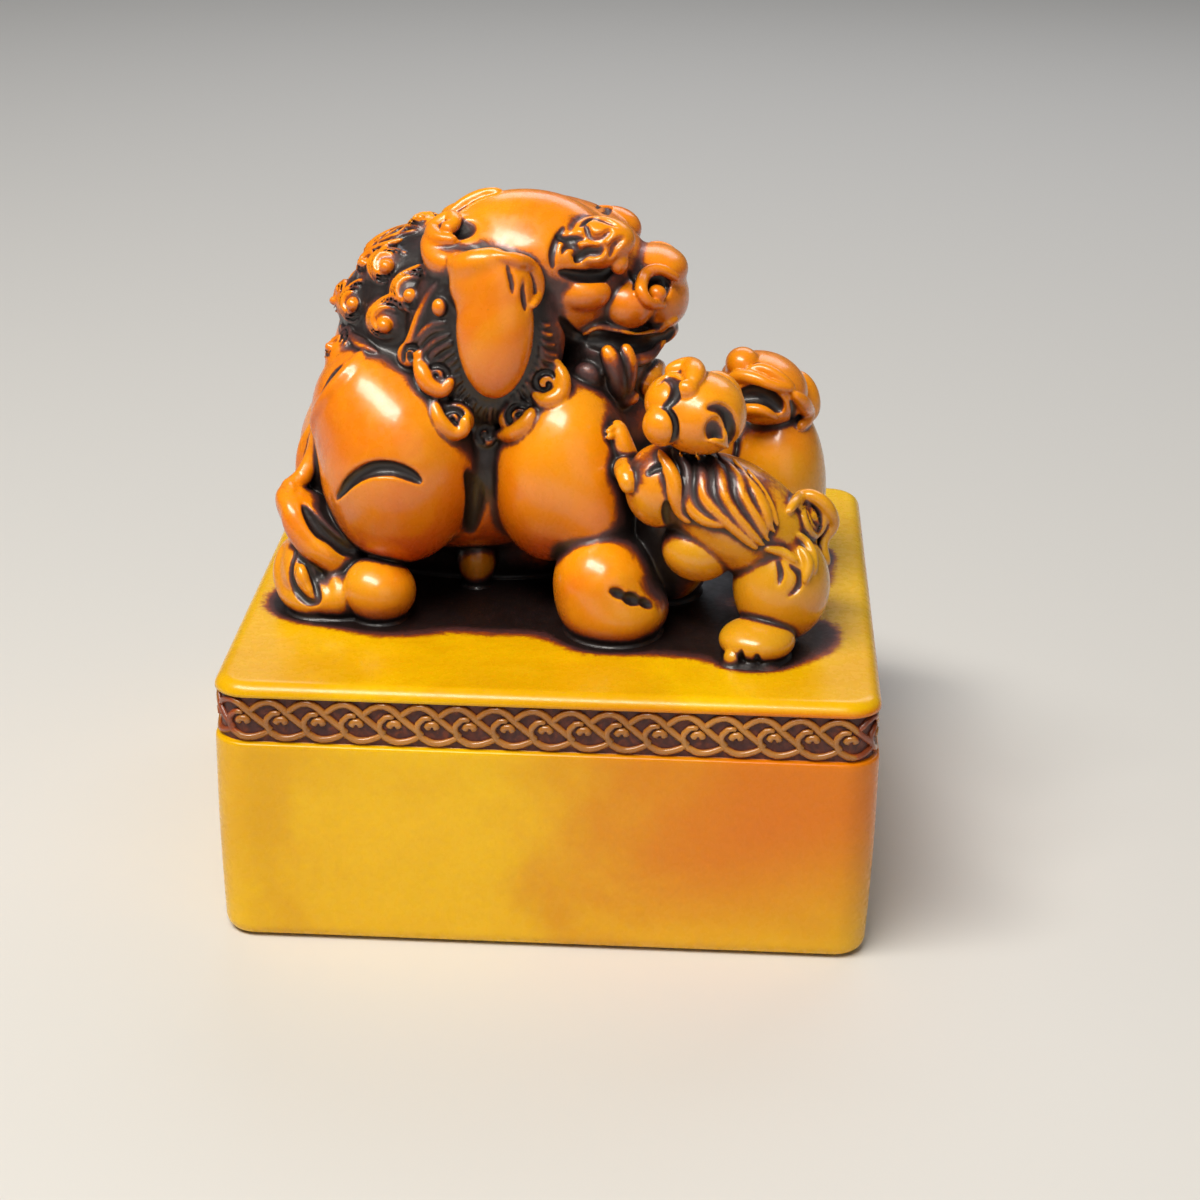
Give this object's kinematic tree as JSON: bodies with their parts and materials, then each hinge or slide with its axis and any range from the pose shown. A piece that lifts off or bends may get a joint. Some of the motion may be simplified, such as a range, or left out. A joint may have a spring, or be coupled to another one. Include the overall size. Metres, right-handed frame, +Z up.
{
  "type": "seal stamp",
  "caption": "Square stone seal stamp with a wave scroll band and a mother lion with cubs carved on top as its grip.",
  "frame": {"origin": "middle of the square printing face, on the surface that the seal stands on", "axes": "+Z up along the block's height, +X the way that the lion faces, -Y the side that the picture shows"},
  "size_m": [0.08, 0.08, 0.0852],
  "materials": {
    "block_stone": "polished",
    "band_stone": "satin",
    "face_stone": "satin",
    "lion_stone": "polished",
    "cub_stone": "polished"
  },
  "bodies": {
    "root": {"far_crest_lobe": "lion_stone", "far_ear": "lion_stone", "far_forepaw": "lion_stone", "far_haunch": "lion_stone", "far_hind_foot": "lion_stone", "far_hind_leg": "lion_stone", "far_ruff": "lion_stone", "far_ruff_curls": "lion_stone", "far_shoulder": "lion_stone", "front_cub_arm": "cub_stone", "front_cub_body": "cub_stone", "front_cub_chest": "cub_stone", "front_cub_ears": "cub_stone", "front_cub_head": "cub_stone", "front_cub_knee": "cub_stone", "front_cub_mane": "cub_stone", "front_cub_nose": "cub_stone", "front_cub_paw": "cub_stone", "front_cub_tail": "cub_stone", "front_cub_thigh": "cub_stone", "front_cub_tuft": "cub_stone", "lion_beard": "lion_stone", "lion_brows": "lion_stone", "lion_cheeks": "lion_stone", "lion_chest": "lion_stone", "lion_eyes": "lion_stone", "lion_jaw": "lion_stone", "lion_lips": "lion_stone", "lion_neck": "lion_stone", "lion_nose": "lion_stone", "lion_nostrils": "lion_stone", "lion_skull": "lion_stone", "lion_snout": "lion_stone", "lion_tail": "lion_stone", "lion_trunk": "lion_stone", "mane_curls": "lion_stone", "near_crest_lobe": "lion_stone", "near_ear": "lion_stone", "near_forepaw": "lion_stone", "near_haunch": "lion_stone", "near_hind_foot": "lion_stone", "near_hind_leg": "lion_stone", "near_ruff": "lion_stone", "near_ruff_curls": "lion_stone", "near_shoulder": "lion_stone", "rear_cub_body": "cub_stone", "rear_cub_ears": "cub_stone", "rear_cub_head": "cub_stone", "rear_cub_jaw": "cub_stone", "rear_cub_nose": "cub_stone", "rear_cub_paws": "cub_stone", "scroll_band_back": "band_stone", "scroll_band_front": "band_stone", "scroll_band_left": "band_stone", "scroll_band_right": "band_stone", "seal_block": "block_stone", "seal_face": "face_stone", "tucked_paw": "lion_stone"}
  },
  "joints": []
}
